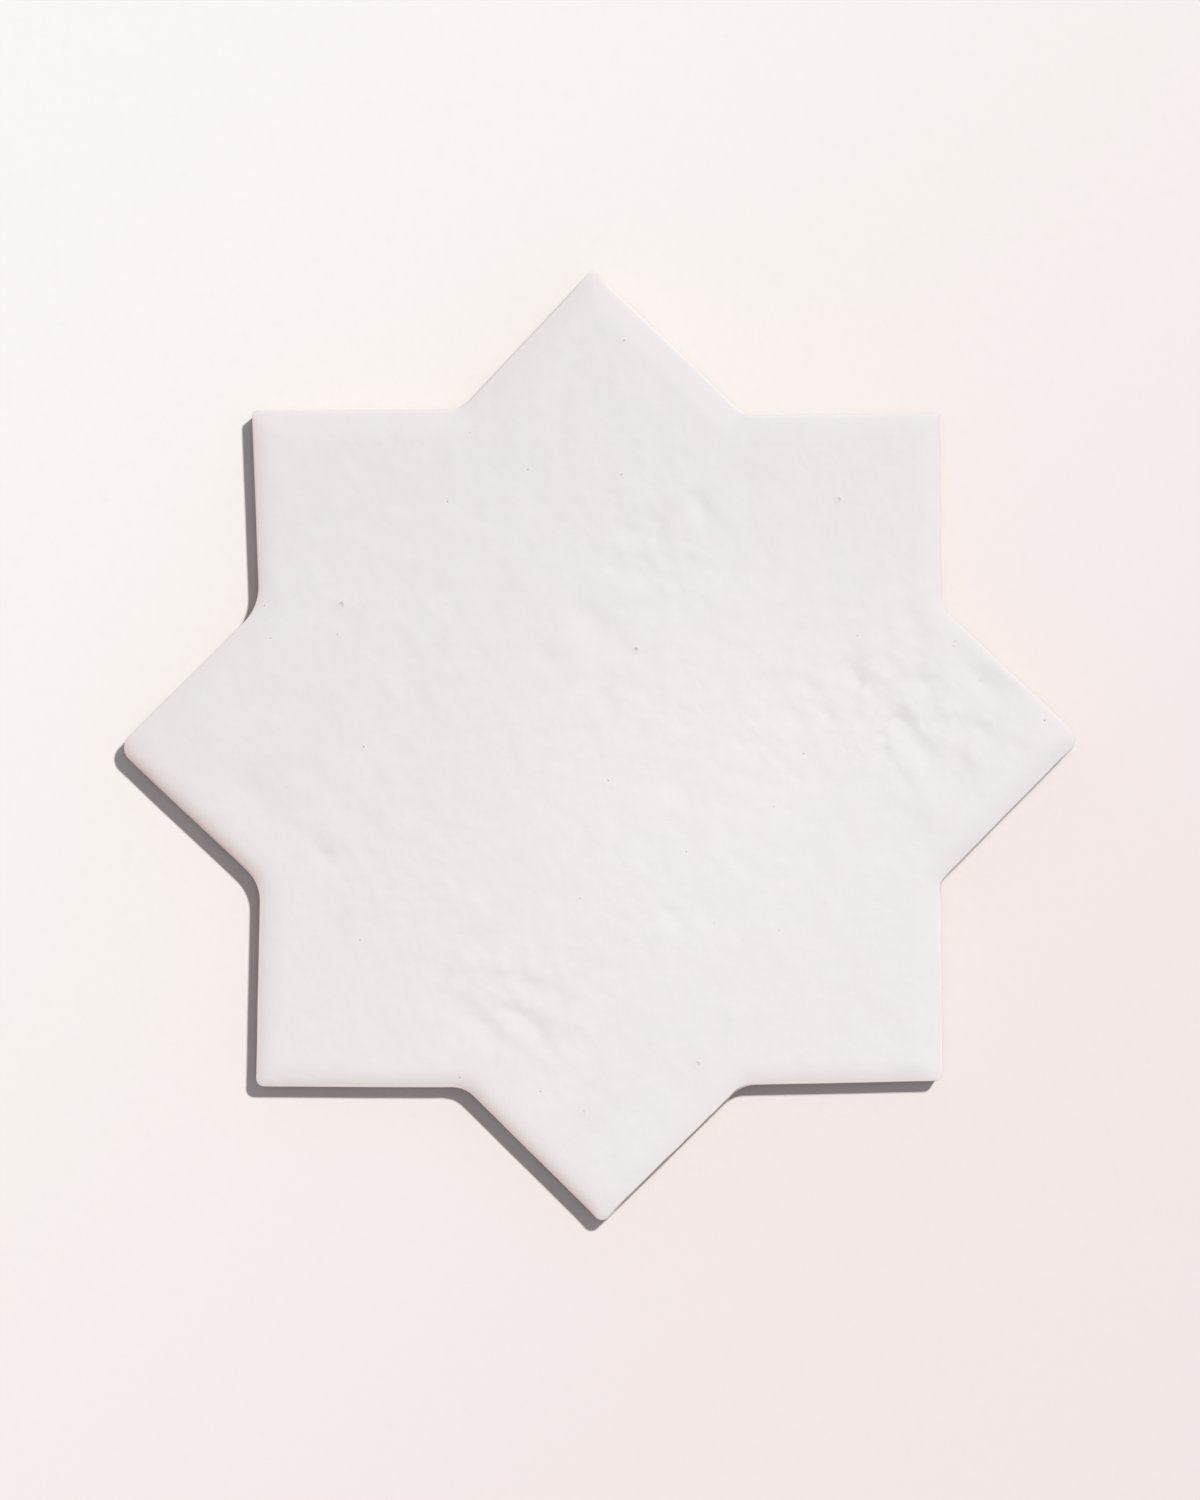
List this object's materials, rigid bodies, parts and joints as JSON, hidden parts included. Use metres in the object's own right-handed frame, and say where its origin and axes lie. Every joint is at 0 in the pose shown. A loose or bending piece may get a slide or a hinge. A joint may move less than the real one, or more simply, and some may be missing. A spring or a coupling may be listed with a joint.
{
  "type": "moroccan star tile",
  "caption": "Flat star-shaped tile of fired clay with a satin white glazed face, softly rolled edges and a grooved back, laid with cross tiles on walls and floors.",
  "frame": {"origin": "middle of the back, the face that beds into the mortar", "axes": "+Z out of the glazed face, +X to the east tip, +Y to the north tip"},
  "size_m": [0.1524, 0.1518, 0.01],
  "materials": {
    "glazed_clay": "satin white glaze on the face, bare pale buff clay on the walls and back"
  },
  "bodies": {
    "root": {"star_tile": "glazed_clay"}
  },
  "joints": []
}
